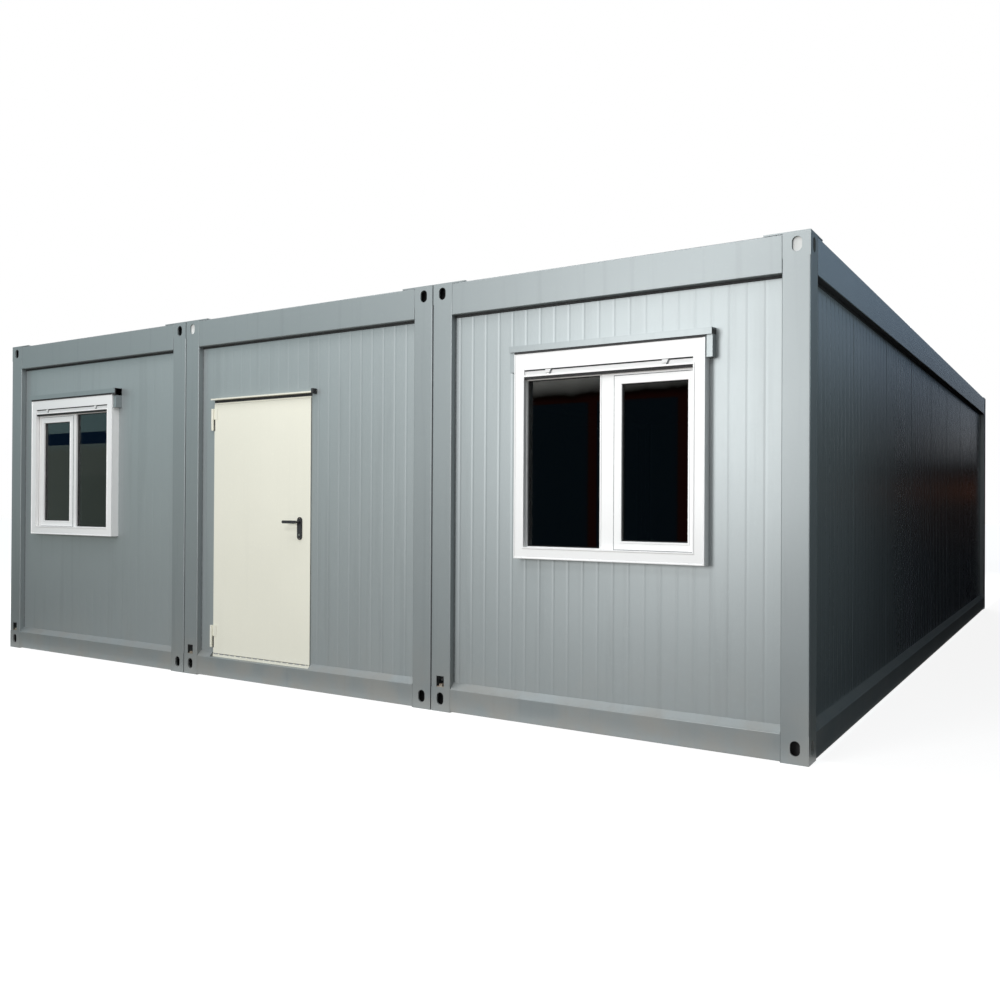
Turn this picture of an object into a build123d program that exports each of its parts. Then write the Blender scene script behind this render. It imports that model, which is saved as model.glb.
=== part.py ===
"""Bank of three thirty-foot office container cabins, joined side by side into one open room.

Each module is a welded steel frame: hollow corner castings, posts and rails of folded sheet, a
floor, a roof sheet and a ceiling. Sandwich panels close the outside walls. The middle module has an
outward-opening door in its front wall, and the outer two have a shuttered window each.

Millimetres. +X runs along the front from left to right, +Y runs from the front wall to the back
wall, +Z is up. The origin is on the ground under the middle of the building.
"""

from build123d import *
import os

os.makedirs("parts", exist_ok=True)

# Modules
module_names = ["left", "middle", "right"]
windows = ["left", "right"]
module_width = 2435
module_length = 9120
module_height = 2800
module_gap = 8

# Steel frame
corner_size = 150
frame_wall = 4
bend_radius = 6
rail_depth = 130
base_top = 155
base_ground_clearance = 6
roof_depth = 135
roof_fascia_height = 215
sill_rise = 36
sill_edge = 2

# Corner castings and the plates on their tops
casting_wall = 12
casting_hole_width = 53
casting_hole_height = 80
casting_hole_inset = 72
base_hole_level = 84
roof_hole_drop = 68
lifting_hole_width = 60
lifting_hole_length = 100
corner_plate_reach = 250
corner_plate_thickness = 8

# Bolt pocket at the foot of a post
pocket_width = 60
pocket_height = 72
pocket_lift = 4
bolt_across_flats = 36
bolt_head_height = 15
bolt_plate_size = 76
bolt_plate_thickness = 8

# Walls, floor, roof and joints between modules
panel_recess = 48
panel_thickness = 60
floor_thickness = 22
ceiling_thickness = 12
roof_sheet_drop = 45
roof_sheet_thickness = 3
roof_seam_height = 22
roof_seam_width = 18
roof_seam_spacing = 600
underfloor_level = 62
underfloor_thickness = 3
cross_member_width = 60
cross_member_height = 48
cross_member_spacing = 600
seal_setback = 8
seal_depth = 30
roof_cap_width = 80
roof_cap_thickness = 3
roof_cap_stem = 30
beam_cover_thickness = 12
fit_gap = 0.3

# Windows, placed from their module's left edge and the roof rail above them
window_left_edge = {"left": 354, "right": 642}
window_width = {"left": 1176, "right": 1231}
window_height = {"left": 1213, "right": 1270}
window_head_drop = {"left": 307, "right": 293}
fixed_light_margin = 74
fixed_light_width = {"left": 476, "right": 499}
fixed_light_lift = 75
fixed_light_drop = 62
sash_light_margin = {"left": 148, "right": 109}
sash_light_width = {"left": 386, "right": 406}
sash_light_lift = 122
sash_light_drop = 122
surround_projection = 20
surround_width = 70
surround_lip = 28
surround_rebate = 15
wall_hole_margin = 40
window_frame_gap = 2
window_frame_setback = 14
window_frame_depth = 70
sash_width = 49
sash_setback = 11
sash_thickness = 40
sash_rebate = 22
sash_gap = 2
pane_thickness = 20
fixed_pane_setback = 33
sash_pane_setback = 28
shutter_front_height = {"left": 88, "right": 110}
shutter_box_drop = 38
shutter_box_projection = 80
shutter_bar_height = 40
shutter_bar_gap = 3
shutter_bar_setback = 8
shutter_bar_thickness = 12
shutter_stop_width = 40
shutter_stop_inset = 237
shutter_stop_thickness = 6
cap_projection = 26
cap_overhang = 38
cap_lift = 5
cap_lip_height = 38
cap_rise = 5
cap_sheet = 3
cap_bracket_drop = 118
cap_bracket_projection = 12

# Door, measured from the left edge of the middle module
door_left = 295
door_width = 1024
door_top = 2122
door_setback = 37
door_skin = 4
door_thickness = 45
door_overlap = 55
door_hinge_gap = 5
door_lock_gap = 10
door_bottom_gap = 5
door_sill_gap = 8
jamb_width = 43
threshold_height = 21
threshold_setback = 34
door_rail_overhang_left = 10
door_rail_overhang_right = 50
door_rail_lift = 34
door_rail_height = 16
door_rail_setback = 6

# Hinges
hinge_axis_offset = 14
hinge_axis_setback = 30
hinge_radius = 11
hinge_pin_radius = 5
hinge_pin_clearance = 0.4
hinge_length = 170
hinge_slit = 0.4
hinge_block_width = 16
hinge_flap_width = 52
hinge_flap_thickness = 3
hinge_drops = [116, 1809]

# Lever handle, escutcheons and lock cylinder
lever_level = 1218
lever_backset = 101
lever_radius = 9
lever_reach = 125
lever_projection = 48
lever_height = 22
lever_thickness = 13
lever_running_gap = 0.3
lever_bore_radius = 14
lock_drop = 94
lock_radius = 8.5
lock_projection = 3
escutcheon_width = 46
escutcheon_end = 36
escutcheon_thickness = 8

# Sizes and places that follow from the ones above
module_pitch = module_width + module_gap
total_width = len(module_names) * module_pitch - module_gap
module_centres = {
    name: -total_width / 2 + module_width / 2 + number * module_pitch
    for number, name in enumerate(module_names)
}
joint_centres = [
    -total_width / 2 + number * module_pitch - module_gap / 2
    for number in range(1, len(module_names))
]
front = -module_length / 2
half_width = module_width / 2
half_length = module_length / 2
frame_top = module_height - corner_plate_thickness
roof_soffit = module_height - roof_depth
fascia_bottom = module_height - roof_fascia_height
wall_inner = panel_recess + panel_thickness
panel_front = front + panel_recess
room_width = module_width - 2 * wall_inner
room_length = module_length - 2 * wall_inner
rail_span_x = module_width - 2 * corner_size
rail_span_y = module_length - 2 * corner_size
wall_height = roof_soffit - base_top
floor_top = base_top + floor_thickness

window_left = {
    side: module_centres[side] - half_width + edge for side, edge in window_left_edge.items()
}
window_right = {side: window_left[side] + width for side, width in window_width.items()}
window_top = {side: fascia_bottom - drop for side, drop in window_head_drop.items()}
window_sill = {side: window_top[side] - height for side, height in window_height.items()}
frame_inset = wall_hole_margin + window_frame_gap
rebate_inset = surround_width - surround_rebate

door_module_left = module_centres["middle"] - half_width
leaf_left = door_module_left + door_left
leaf_right = leaf_left + door_width
leaf_front = front + door_setback
leaf_bottom = base_top + threshold_height + door_bottom_gap
doorway_left = leaf_left + door_overlap
doorway_right = leaf_right - door_overlap
doorway_top = door_top - door_overlap
doorway_bottom = base_top + threshold_height
wall_cut_left = doorway_left - jamb_width
wall_cut_right = doorway_right + jamb_width
wall_cut_top = doorway_top + jamb_width
hinge_x = leaf_left - hinge_axis_offset
hinge_y = front + hinge_axis_setback
hinge_levels = [door_top - drop for drop in hinge_drops]
lever_x = leaf_right - lever_backset
lock_level = lever_level - lock_drop


def finish(builder, name):
    """Labels a finished piece and writes it as the node of that name."""
    builder.part.label = name
    export_step(builder.part, f"parts/{name}.step")


def block(low, high, mode=Mode.ADD):
    """A square-edged block between two opposite corners."""
    size = [b - a for a, b in zip(low, high)]
    with Locations(tuple((a + b) / 2 for a, b in zip(low, high))):
        Box(*size, mode=mode)


def in_every_module(piece, name):
    """Repeats a piece drawn on the centre of one module in all of them, as one node."""
    with BuildPart() as node:
        with Locations([(x, 0, 0) for x in module_centres.values()]):
            add(piece)
    finish(node, name)


def in_all_quarters():
    """Mirrors what is drawn in the front left quarter of a module into the other three."""
    mirror(about=Plane.YZ)
    mirror(about=Plane.XZ)


def folded_section(points, inside_corners=()):
    """Adds a closed tube of frame sheet, its outside bends rounded and its inside corners square."""
    bends = [0 if number in inside_corners else bend_radius for number in range(len(points))]
    with BuildSketch() as tube:
        with BuildLine():
            FilletPolyline(*points, radius=bends, close=True)
        make_face()
        offset(amount=-frame_wall, mode=Mode.SUBTRACT)
    add(tube.sketch)


def section_plane(start, inward):
    """A plane for a rail's section: local x points into the module, local y points up."""
    return Plane(origin=start, x_dir=inward, z_dir=Vector(*inward).cross(Vector(0, 0, 1)))


# ---------------------------------------------------------------- corner castings


def casting(bottom, top, hole_level, lifting_end):
    """The hollow casting in a module's front left corner, with holes in its outer faces."""
    left, face = -half_width, front
    right, back = left + corner_size, face + corner_size
    wall = casting_wall
    block((left, face, bottom), (right, back, top))
    cavity = [(left + wall, face + wall, bottom + wall), (right - wall, back - wall, top - wall)]
    block(*cavity, mode=Mode.SUBTRACT)
    hole_x = left + casting_hole_inset
    hole_y = face + casting_hole_inset
    front_hole_plane = Plane(origin=(hole_x, face, hole_level), x_dir=(0, 0, 1), z_dir=(0, 1, 0))
    with BuildSketch(front_hole_plane) as front_hole:
        SlotOverall(casting_hole_height, casting_hole_width)
    extrude(front_hole.sketch, amount=wall, mode=Mode.SUBTRACT)
    side_hole_plane = Plane(origin=(left, hole_y, hole_level), x_dir=(0, 0, 1), z_dir=(1, 0, 0))
    with BuildSketch(side_hole_plane) as side_hole:
        SlotOverall(casting_hole_height, casting_hole_width)
    extrude(side_hole.sketch, amount=wall, mode=Mode.SUBTRACT)
    middle = (left + corner_size / 2, face + corner_size / 2, lifting_end)
    with BuildSketch(Plane(origin=middle)) as lifting_hole:
        SlotOverall(lifting_hole_length, lifting_hole_width, rotation=90)
    into_casting = wall if lifting_end == bottom else -wall
    extrude(lifting_hole.sketch, amount=into_casting, mode=Mode.SUBTRACT)


with BuildPart() as base_castings:
    casting(0, base_top, base_hole_level, 0)
    in_all_quarters()
in_every_module(base_castings.part, "corner_castings_bottom")

with BuildPart() as roof_castings:
    casting(roof_soffit, frame_top, module_height - roof_hole_drop, frame_top)
    plate_near, plate_far = rail_depth, corner_plate_reach
    with BuildSketch(Plane(origin=(-half_width, front, frame_top))):
        with BuildLine():
            Polyline(
                (0, 0),
                (plate_far, 0),
                (plate_far, plate_near),
                (plate_near, plate_far),
                (0, plate_far),
                close=True,
            )
        make_face()
        with Locations((corner_size / 2, corner_size / 2)):
            SlotOverall(lifting_hole_length, lifting_hole_width, rotation=90, mode=Mode.SUBTRACT)
    extrude(amount=corner_plate_thickness)
    in_all_quarters()
in_every_module(roof_castings.part, "corner_castings_top")

# ---------------------------------------------------------------- corner posts


def post_section(corner_x, corner_y, inward_x):
    """An L with a core behind it: the legs cover the panels' edges, and the core stops their ends."""
    leg, lap, core = corner_size, panel_recess, wall_inner
    outline = [
        (0, 0),
        (leg, 0),
        (leg, lap),
        (core, lap),
        (core, core),
        (lap, core),
        (lap, leg),
        (0, leg),
    ]
    points = [(corner_x + inward_x * across, corner_y + along) for across, along in outline]
    folded_section(points, inside_corners=(3, 5))


pocket_bottom = base_top + pocket_lift
pocket_x = -half_width + casting_hole_inset

with BuildPart() as front_posts:
    with BuildSketch(Plane.XY.offset(base_top)):
        post_section(-half_width, front, 1)
        post_section(half_width, front, -1)
    extrude(amount=wall_height)
    block(
        (pocket_x - pocket_width / 2, front, pocket_bottom),
        (pocket_x + pocket_width / 2, front + frame_wall, pocket_bottom + pocket_height),
        mode=Mode.SUBTRACT,
    )

with BuildPart() as posts:
    add(front_posts.part)
    with Locations(Location((0, 0, 0), (0, 0, 180))):
        add(front_posts.part)
in_every_module(posts.part, "corner_posts")

with BuildPart() as foot_bolt:
    bolt_y = front + frame_wall + bolt_plate_size / 4
    block(
        (pocket_x - bolt_plate_size / 2, front + frame_wall, base_top),
        (
            pocket_x + bolt_plate_size / 2,
            front + panel_recess - frame_wall,
            base_top + bolt_plate_thickness,
        ),
    )
    with BuildSketch(Plane(origin=(pocket_x, bolt_y, base_top + bolt_plate_thickness))):
        RegularPolygon(bolt_across_flats / 2, 6, major_radius=False)
    extrude(amount=bolt_head_height)

with BuildPart() as foot_bolts:
    add(foot_bolt.part)
    with Locations(Location((0, 0, 0), (0, 0, 180))):
        add(foot_bolt.part)
in_every_module(foot_bolts.part, "post_foot_bolts")

# ---------------------------------------------------------------- rails


def base_rail(start, inward, length):
    """A floor rail, folded into a closed tube."""
    with BuildSketch(section_plane(start, inward)) as section:
        folded_section(
            [
                (0, base_ground_clearance),
                (0, base_top),
                (rail_depth, base_top),
                (rail_depth, base_ground_clearance),
            ]
        )
    extrude(section.sketch, amount=length)


def sill(start, inward, length):
    """The sloping sill on a floor rail, which rises to the foot of the panels."""
    with BuildSketch(section_plane(start, inward)) as section:
        with BuildLine():
            Polyline(
                (bend_radius, base_top),
                (panel_recess - sill_edge, base_top + sill_rise),
                (panel_recess, base_top + sill_rise),
                (panel_recess, base_top),
                close=True,
            )
        make_face()
    extrude(section.sketch, amount=length)


def roof_rail(start, inward, length):
    """A roof rail: a deep fascia in front of the panels, and a flange over them."""
    with BuildSketch(section_plane(start, inward)) as section:
        folded_section(
            [
                (0, fascia_bottom),
                (0, frame_top),
                (rail_depth, frame_top),
                (rail_depth, roof_soffit),
                (panel_recess, roof_soffit),
                (panel_recess, fascia_bottom),
            ],
            inside_corners=(4,),
        )
    extrude(section.sketch, amount=length)


with BuildPart() as base_rails_ends:
    for name, centre in module_centres.items():
        left, right = centre - rail_span_x / 2, centre + rail_span_x / 2
        base_rail((left, front, 0), (0, 1, 0), rail_span_x)
        base_rail((right, -front, 0), (0, -1, 0), rail_span_x)
        sill((right, -front, 0), (0, -1, 0), rail_span_x)
        if name == "middle":
            door_side = (leaf_left - door_sill_gap, leaf_right + door_sill_gap)
            sill((left, front, 0), (0, 1, 0), door_side[0] - left)
            sill((door_side[1], front, 0), (0, 1, 0), right - door_side[1])
        else:
            sill((left, front, 0), (0, 1, 0), rail_span_x)
finish(base_rails_ends, "base_rails_ends")

rail_start = -front - corner_size
with BuildPart() as base_rails_sides:
    for centre in module_centres.values():
        base_rail((centre - half_width, rail_start, 0), (1, 0, 0), rail_span_y)
        base_rail((centre + half_width, -rail_start, 0), (-1, 0, 0), rail_span_y)
    sill((-total_width / 2, rail_start, 0), (1, 0, 0), rail_span_y)
    sill((total_width / 2, -rail_start, 0), (-1, 0, 0), rail_span_y)
finish(base_rails_sides, "base_rails_sides")

with BuildPart() as roof_rails_ends:
    for centre in module_centres.values():
        roof_rail((centre - rail_span_x / 2, front, 0), (0, 1, 0), rail_span_x)
        roof_rail((centre + rail_span_x / 2, -front, 0), (0, -1, 0), rail_span_x)
finish(roof_rails_ends, "roof_rails_ends")

with BuildPart() as roof_rails_sides:
    for centre in module_centres.values():
        roof_rail((centre - half_width, rail_start, 0), (1, 0, 0), rail_span_y)
        roof_rail((centre + half_width, -rail_start, 0), (-1, 0, 0), rail_span_y)
finish(roof_rails_sides, "roof_rails_sides")

# ---------------------------------------------------------------- roof, ceiling and floor



def clear_castings(bottom, top):
    """Cuts a sheet away between two levels where a module's corner castings stand."""
    across, along = half_width - corner_size / 2, half_length - corner_size / 2
    with Locations([(x, y, (bottom + top) / 2) for x in (-across, across) for y in (-along, along)]):
        Box(corner_size, corner_size, top - bottom, mode=Mode.SUBTRACT)


sheet_level = frame_top - roof_sheet_drop
inner_width = module_width - 2 * rail_depth
inner_length = module_length - 2 * rail_depth
seam_count = int(inner_length // roof_seam_spacing)
member_count = int(inner_length // cross_member_spacing)

with BuildPart() as roof_sheet:
    block(
        (-inner_width / 2, -inner_length / 2, sheet_level - roof_sheet_thickness),
        (inner_width / 2, inner_length / 2, sheet_level),
    )
    with Locations((0, 0, sheet_level + roof_seam_height / 2)):
        with GridLocations(1, roof_seam_spacing, 1, seam_count):
            Box(inner_width, roof_seam_width, roof_seam_height)
    clear_castings(roof_soffit, frame_top)
in_every_module(roof_sheet.part, "roof_sheets")

with BuildPart() as roof_joint_caps:
    for joint in joint_centres:
        cap_start = front + corner_plate_reach + fit_gap
        cap_end = -cap_start
        stem = module_gap / 2 - fit_gap
        block(
            (joint - roof_cap_width / 2, cap_start, frame_top),
            (joint + roof_cap_width / 2, cap_end, frame_top + roof_cap_thickness),
        )
        block((joint - stem, cap_start, frame_top - roof_cap_stem), (joint + stem, cap_end, frame_top))
finish(roof_joint_caps, "roof_joint_caps")

with BuildPart() as ceiling:
    block(
        (-room_width / 2, -room_length / 2, roof_soffit - ceiling_thickness),
        (room_width / 2, room_length / 2, roof_soffit),
    )
in_every_module(ceiling.part, "ceilings")

with BuildPart() as ceiling_joint_covers:
    for joint in joint_centres:
        inside = module_gap / 2 + panel_recess
        outside = inside + beam_cover_thickness
        under = fascia_bottom - beam_cover_thickness
        ends = (front + corner_size, -front - corner_size)
        block((joint - outside, ends[0], under), (joint + outside, ends[1], roof_soffit))
        block(
            (joint - inside, ends[0], fascia_bottom),
            (joint + inside, ends[1], roof_soffit),
            mode=Mode.SUBTRACT,
        )
finish(ceiling_joint_covers, "ceiling_joint_covers")

with BuildPart() as floor_deck:
    block((-room_width / 2, -room_length / 2, base_top), (room_width / 2, room_length / 2, floor_top))
in_every_module(floor_deck.part, "floor_decks")

with BuildPart() as floor_joint_covers:
    for joint in joint_centres:
        reach = module_gap / 2 + wall_inner
        block(
            (joint - reach, front + corner_size, base_top),
            (joint + reach, -front - corner_size, floor_top),
        )
finish(floor_joint_covers, "floor_joint_covers")

with BuildPart() as underfloor:
    block(
        (-inner_width / 2, -inner_length / 2, underfloor_level),
        (inner_width / 2, inner_length / 2, underfloor_level + underfloor_thickness),
    )
    with Locations((0, 0, underfloor_level - cross_member_height / 2)):
        with GridLocations(1, cross_member_spacing, 1, member_count):
            Box(inner_width, cross_member_width, cross_member_height)
    clear_castings(0, base_top)
in_every_module(underfloor.part, "underfloors")

with BuildPart() as joint_seals:
    for joint in joint_centres:
        for end in (-1, 1):
            near = end * (half_length - seal_setback)
            far = end * (half_length - seal_setback - seal_depth)
            block(
                (joint - module_gap / 2, min(near, far), base_top),
                (joint + module_gap / 2, max(near, far), roof_soffit),
            )
finish(joint_seals, "joint_seals")

# ---------------------------------------------------------------- wall panels


def front_panel(left, right, bottom, top):
    """A stretch of the front wall."""
    block((left, panel_front, bottom), (right, panel_front + panel_thickness, top))


def window_plate(side, depth, thickness, insets, mode=Mode.ADD):
    """A plate or hole in a window, inset from its outline by the fixed light, the sash, below, above."""
    by_fixed_light, by_sash, below, above = insets
    by_left, by_right = (by_sash, by_fixed_light) if side == "left" else (by_fixed_light, by_sash)
    block(
        (window_left[side] + by_left, front + depth, window_sill[side] + below),
        (window_right[side] - by_right, front + depth + thickness, window_top[side] - above),
        mode=mode,
    )


for side, name in ((-1, "side_wall_left"), (1, "side_wall_right")):
    with BuildPart() as side_wall:
        outer = side * (total_width / 2 - panel_recess)
        inner = side * (total_width / 2 - wall_inner)
        block(
            (min(outer, inner), -room_length / 2, base_top),
            (max(outer, inner), room_length / 2, roof_soffit),
        )
    finish(side_wall, name)

for side in windows:
    with BuildPart() as window_wall:
        middle = module_centres[side]
        front_panel(middle - room_width / 2, middle + room_width / 2, base_top, roof_soffit)
        wall_hole = [wall_hole_margin] * 4
        window_plate(side, panel_recess, panel_thickness, wall_hole, mode=Mode.SUBTRACT)
    finish(window_wall, f"front_wall_{side}")

door_wall_left = module_centres["middle"] - room_width / 2
door_wall_right = module_centres["middle"] + room_width / 2
for name, left, right, bottom in (
    ("front_wall_door_left", door_wall_left, wall_cut_left, base_top),
    ("front_wall_over_door", wall_cut_left, wall_cut_right, wall_cut_top),
    ("front_wall_door_right", wall_cut_right, door_wall_right, base_top),
):
    with BuildPart() as door_wall:
        front_panel(left, right, bottom, roof_soffit)
    finish(door_wall, name)

with BuildPart() as back_wall:
    block(
        (-room_width / 2, -panel_front - panel_thickness, base_top),
        (room_width / 2, -panel_front, roof_soffit),
    )
in_every_module(back_wall.part, "back_walls")

# ---------------------------------------------------------------- windows


def fixed_light(side):
    """The insets of a window's fixed light."""
    sash_side = window_width[side] - fixed_light_margin - fixed_light_width[side]
    above = shutter_front_height[side] + fixed_light_drop
    return (fixed_light_margin, sash_side, fixed_light_lift, above)


def sash_light(side, grown=0):
    """The insets of the light in a window's sash, or of an outline grown from it on every side."""
    fixed_side = window_width[side] - sash_light_margin[side] - sash_light_width[side]
    above = shutter_front_height[side] + sash_light_drop
    insets = (fixed_side, sash_light_margin[side], sash_light_lift, above)
    return [inset - grown for inset in insets]


with BuildPart() as window_surrounds:
    depth = surround_projection + panel_recess
    for side in windows:
        above = shutter_front_height[side]
        window_plate(side, -surround_projection, depth, (0, 0, 0, above))
        opening = (surround_width, surround_width, surround_width, above)
        window_plate(side, -surround_projection, depth, opening, mode=Mode.SUBTRACT)
        behind_lip = surround_lip - surround_projection
        rebate = (rebate_inset, rebate_inset, rebate_inset, above)
        window_plate(side, behind_lip, panel_recess - behind_lip, rebate, mode=Mode.SUBTRACT)
finish(window_surrounds, "window_surrounds")

with BuildPart() as window_frames:
    setback, back = window_frame_setback, window_frame_setback + window_frame_depth
    recess_depth = sash_setback + sash_thickness + sash_gap
    for side in windows:
        above = shutter_front_height[side] + shutter_box_drop
        inside_surround = (rebate_inset, rebate_inset, rebate_inset, above)
        inside_wall = (frame_inset, frame_inset, frame_inset, above)
        window_plate(side, setback, panel_recess - setback, inside_surround)
        window_plate(side, panel_recess, back - panel_recess, inside_wall)
        window_plate(side, setback, window_frame_depth, fixed_light(side), mode=Mode.SUBTRACT)
        sash_recess = sash_light(side, grown=sash_width + sash_gap)
        window_plate(side, setback, recess_depth - setback, sash_recess, mode=Mode.SUBTRACT)
        behind_sash = sash_light(side, grown=sash_width - sash_rebate)
        window_plate(side, setback, window_frame_depth, behind_sash, mode=Mode.SUBTRACT)
finish(window_frames, "window_frames")

with BuildPart() as window_sashes:
    # The sash reaches back through its gasket to the rebate it closes on.
    depth = sash_thickness + sash_gap
    for side in windows:
        window_plate(side, sash_setback, depth, sash_light(side, grown=sash_width))
        window_plate(side, sash_setback, depth, sash_light(side), mode=Mode.SUBTRACT)
finish(window_sashes, "window_sashes")

with BuildPart() as window_panes:
    for side in windows:
        window_plate(side, fixed_pane_setback, pane_thickness, fixed_light(side))
        window_plate(side, sash_pane_setback, pane_thickness, sash_light(side))
finish(window_panes, "window_panes")

with BuildPart() as shutter_boxes:
    for side in windows:
        front_bottom = window_height[side] - shutter_front_height[side]
        front_face = (0, 0, front_bottom, 0)
        window_plate(side, -surround_projection, surround_projection + panel_recess, front_face)
        in_wall = (frame_inset, frame_inset, front_bottom - shutter_box_drop, wall_hole_margin)
        window_plate(side, panel_recess, panel_thickness + shutter_box_projection, in_wall)
finish(shutter_boxes, "shutter_boxes")

with BuildPart() as shutter_bars:
    bar_front = shutter_bar_setback - surround_projection
    for side in windows:
        bar_end = surround_width + fit_gap
        bar_top = shutter_front_height[side] + shutter_bar_gap
        bar_bottom = window_height[side] - bar_top - shutter_bar_height
        bar = (bar_end, bar_end, bar_bottom, bar_top)
        window_plate(side, bar_front, shutter_bar_thickness, bar)
        stop_near = shutter_stop_inset - shutter_stop_width / 2
        stop_far = window_width[side] - stop_near - shutter_stop_width
        stop_bottom = bar_bottom + shutter_bar_height / 2
        stop_front = bar_front - shutter_stop_thickness
        for ends in ((stop_near, stop_far), (stop_far, stop_near)):
            stop = (*ends, stop_bottom, bar_top)
            window_plate(side, stop_front, shutter_stop_thickness, stop)
finish(shutter_bars, "shutter_bars")


def folded_cap(left, right, section_points):
    """A folded strip along the front wall between two ends, given its section."""
    with BuildSketch(section_plane((left, front, 0), (0, 1, 0))) as section:
        with BuildLine():
            Polyline(*section_points, close=True)
        make_face()
    extrude(section.sketch, amount=right - left)


with BuildPart() as window_drip_caps:
    for side in windows:
        lip_bottom = window_top[side] + cap_lift
        lip_top = lip_bottom + cap_lip_height
        left, right = window_left[side] - cap_overhang, window_right[side] + cap_overhang
        section_points = [
            (-cap_projection, lip_bottom),
            (-cap_projection, lip_top),
            (panel_recess, lip_top + cap_rise),
            (panel_recess, lip_top + cap_rise - cap_sheet),
            (cap_sheet - cap_projection, lip_top - cap_sheet),
            (cap_sheet - cap_projection, lip_bottom),
        ]
        folded_cap(left, right, section_points)
        bracket_bottom = window_top[side] - cap_bracket_drop
        for near, far in ((left, window_left[side]), (window_right[side], right)):
            block(
                (near, front - cap_bracket_projection, bracket_bottom),
                (far, panel_front, lip_top - cap_sheet),
            )
finish(window_drip_caps, "window_drip_caps")

# ---------------------------------------------------------------- door frame


def upright(depth, thickness, left, right, bottom, top, mode=Mode.ADD):
    """A rectangular plate or hole in the front wall's plane, from a depth inwards."""
    block((left, front + depth, bottom), (right, front + depth + thickness, top), mode=mode)


with BuildPart() as door_jambs:
    for left, right in ((wall_cut_left, doorway_left), (doorway_right, wall_cut_right)):
        upright(panel_recess, panel_thickness, left, right, doorway_bottom, wall_cut_top)
finish(door_jambs, "door_jambs")

with BuildPart() as door_head:
    upright(panel_recess, panel_thickness, doorway_left, doorway_right, doorway_top, wall_cut_top)
finish(door_head, "door_head")

with BuildPart() as door_threshold:
    upright(
        panel_recess,
        panel_thickness,
        wall_cut_left,
        wall_cut_right,
        base_top,
        doorway_bottom,
    )
    upright(
        threshold_setback,
        panel_recess - threshold_setback,
        leaf_left,
        leaf_right,
        base_top,
        doorway_bottom,
    )
finish(door_threshold, "door_threshold")

rail_bottom = door_top + door_rail_lift
rail_top = rail_bottom + door_rail_height

with BuildPart() as door_drip_rail:
    section_points = [
        (door_rail_setback, rail_bottom),
        (door_rail_setback, rail_top - cap_rise),
        (panel_recess - cap_sheet, rail_top),
        (panel_recess, rail_top),
        (panel_recess, rail_bottom),
        (panel_recess - cap_sheet, rail_bottom),
        (panel_recess - cap_sheet, rail_top - cap_sheet),
        (door_rail_setback + cap_sheet, rail_top - cap_rise - cap_sheet),
        (door_rail_setback + cap_sheet, rail_bottom),
    ]
    rail_left = leaf_left - door_rail_overhang_left
    rail_right = leaf_right + door_rail_overhang_right
    folded_cap(rail_left, rail_right, section_points)
finish(door_drip_rail, "door_drip_rail")

# ---------------------------------------------------------------- hinges

half_hinge = hinge_length / 2


def upright_rod(x, y, bottom, top, radius, mode=Mode.ADD):
    """A round rod or hole standing on end."""
    with Locations((x, y, (bottom + top) / 2)):
        Cylinder(radius, top - bottom, mode=mode)


with BuildPart() as door_frame_hinges:
    for level in hinge_levels:
        bottom, split = level - half_hinge, level - hinge_slit / 2
        upright_rod(hinge_x, hinge_y, bottom, split, hinge_radius)
        block(
            (hinge_x - hinge_block_width / 2, hinge_y, bottom),
            (hinge_x + hinge_block_width / 2 - hinge_flap_thickness, panel_front, split),
        )
        upright_rod(hinge_x, hinge_y, split, level + half_hinge / 2, hinge_pin_radius)
finish(door_frame_hinges, "door_frame_hinges")

with BuildPart() as door_leaf_hinges:
    for level in hinge_levels:
        split, top = level + hinge_slit / 2, level + half_hinge
        upright_rod(hinge_x, hinge_y, split, top, hinge_radius)
        block(
            (hinge_x, leaf_front - hinge_flap_thickness, split),
            (hinge_x + hinge_flap_width, leaf_front, top),
        )
        bore_top = level + half_hinge / 2 + hinge_pin_clearance
        bore_radius = hinge_pin_radius + hinge_pin_clearance
        upright_rod(hinge_x, hinge_y, split, bore_top, bore_radius, mode=Mode.SUBTRACT)
finish(door_leaf_hinges, "door_leaf_hinges")

# ---------------------------------------------------------------- door leaf and lock


def facing_plane(depth):
    """The upright plane at a depth behind the front of the frame, seen from outside."""
    return Plane(origin=(0, front + depth, 0), x_dir=(1, 0, 0), z_dir=(0, -1, 0))


def through_rod(level, near, far, radius, mode=Mode.ADD):
    """A round rod or hole through the leaf at the lock's line, between two depths."""
    with Locations(Location((lever_x, front + (near + far) / 2, level), (90, 0, 0))):
        Cylinder(radius, far - near, mode=mode)


leaf_far = door_setback + door_thickness

with BuildPart() as door_leaf:
    upright(door_setback, door_skin, leaf_left, leaf_right, leaf_bottom, door_top)
    upright(
        door_setback + door_skin,
        door_thickness - door_skin,
        doorway_left + door_hinge_gap,
        doorway_right - door_lock_gap,
        leaf_bottom,
        doorway_top - door_hinge_gap,
    )
    through_rod(lever_level, door_setback, leaf_far, lever_bore_radius, mode=Mode.SUBTRACT)
    through_rod(lock_level, door_setback, leaf_far, lock_radius + fit_gap, mode=Mode.SUBTRACT)
finish(door_leaf, "door_leaf")

plate_top = lever_level + escutcheon_end
plate_bottom = lock_level - escutcheon_end

with BuildPart() as door_escutcheons:
    for near in (door_setback - escutcheon_thickness, leaf_far):
        far = near + escutcheon_thickness
        with BuildSketch(facing_plane(far)):
            with Locations((lever_x, (plate_top + plate_bottom) / 2)):
                SlotOverall(plate_top - plate_bottom, escutcheon_width, rotation=90)
        extrude(amount=escutcheon_thickness)
        through_rod(lever_level, near, far, lever_radius + lever_running_gap, mode=Mode.SUBTRACT)
        through_rod(lock_level, near, far, lock_radius + fit_gap, mode=Mode.SUBTRACT)
finish(door_escutcheons, "door_escutcheons")

plate_near = door_setback - escutcheon_thickness
plate_far = leaf_far + escutcheon_thickness

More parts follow.
